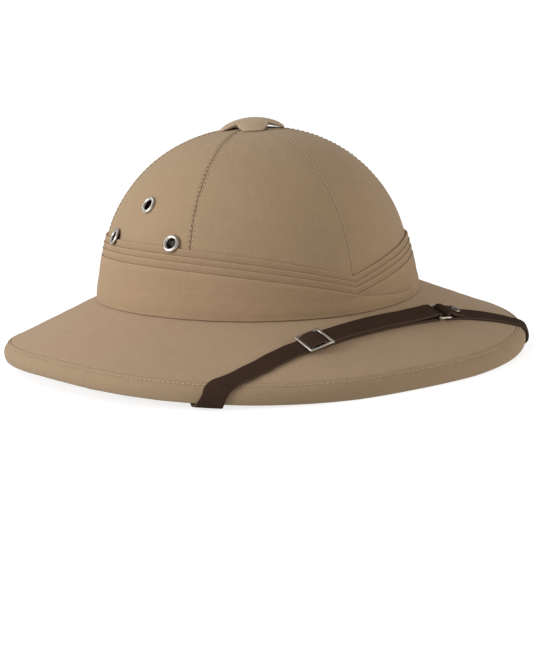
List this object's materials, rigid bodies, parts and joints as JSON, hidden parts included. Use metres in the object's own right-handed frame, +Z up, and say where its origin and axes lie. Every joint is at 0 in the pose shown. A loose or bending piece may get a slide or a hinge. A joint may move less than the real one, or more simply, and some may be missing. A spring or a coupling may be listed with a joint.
{
  "type": "pith helmet",
  "caption": "Khaki cloth-covered pith helmet with a pleated band, a vent cap, side eyelets and a leather chin strap over the brim.",
  "frame": {"origin": "centre of the rim's outline in plan, on the surface that the hat rests on", "axes": "+Z up; the hat's front looks along -Y; the wearer's left is +X"},
  "size_m": [0.3012, 0.34, 0.1502],
  "materials": {
    "shell": "pressed fibre crown and brim, cloth-coloured",
    "crown_panel_1": "woven cotton",
    "crown_panel_2": "woven cotton",
    "crown_panel_3": "woven cotton",
    "crown_panel_4": "woven cotton",
    "crown_panel_5": "woven cotton",
    "crown_panel_6": "woven cotton",
    "brim_cover": "woven cotton",
    "rim_binding": "woven cotton tape",
    "pugaree": "pleated woven cotton",
    "vent_cap": "cloth-covered cap",
    "eyelet_right_1": "satin nickel plate",
    "eyelet_right_2": "satin nickel plate",
    "eyelet_right_3": "satin nickel plate",
    "eyelet_left_1": "satin nickel plate",
    "eyelet_left_2": "satin nickel plate",
    "eyelet_left_3": "satin nickel plate",
    "strap_slide": "satin nickel plate",
    "strap_ring": "satin nickel plate",
    "snap_stud": "satin nickel plate",
    "strap_rivet_right": "satin nickel plate",
    "strap_rivet_left": "satin nickel plate",
    "strap_long": "smooth dark brown leather",
    "strap_short": "smooth dark brown leather"
  },
  "bodies": {
    "root": {"shell": "shell", "crown_panel_1": "crown_panel_1", "crown_panel_2": "crown_panel_2", "crown_panel_3": "crown_panel_3", "crown_panel_4": "crown_panel_4", "crown_panel_5": "crown_panel_5", "crown_panel_6": "crown_panel_6", "brim_cover": "brim_cover", "rim_binding": "rim_binding", "pugaree": "pugaree", "vent_cap": "vent_cap", "eyelet_right_1": "eyelet_right_1", "eyelet_right_2": "eyelet_right_2", "eyelet_right_3": "eyelet_right_3", "eyelet_left_1": "eyelet_left_1", "eyelet_left_2": "eyelet_left_2", "eyelet_left_3": "eyelet_left_3", "strap_slide": "strap_slide", "strap_ring": "strap_ring", "snap_stud": "snap_stud", "strap_rivet_right": "strap_rivet_right", "strap_rivet_left": "strap_rivet_left", "strap_long": "strap_long", "strap_short": "strap_short"}
  },
  "joints": []
}
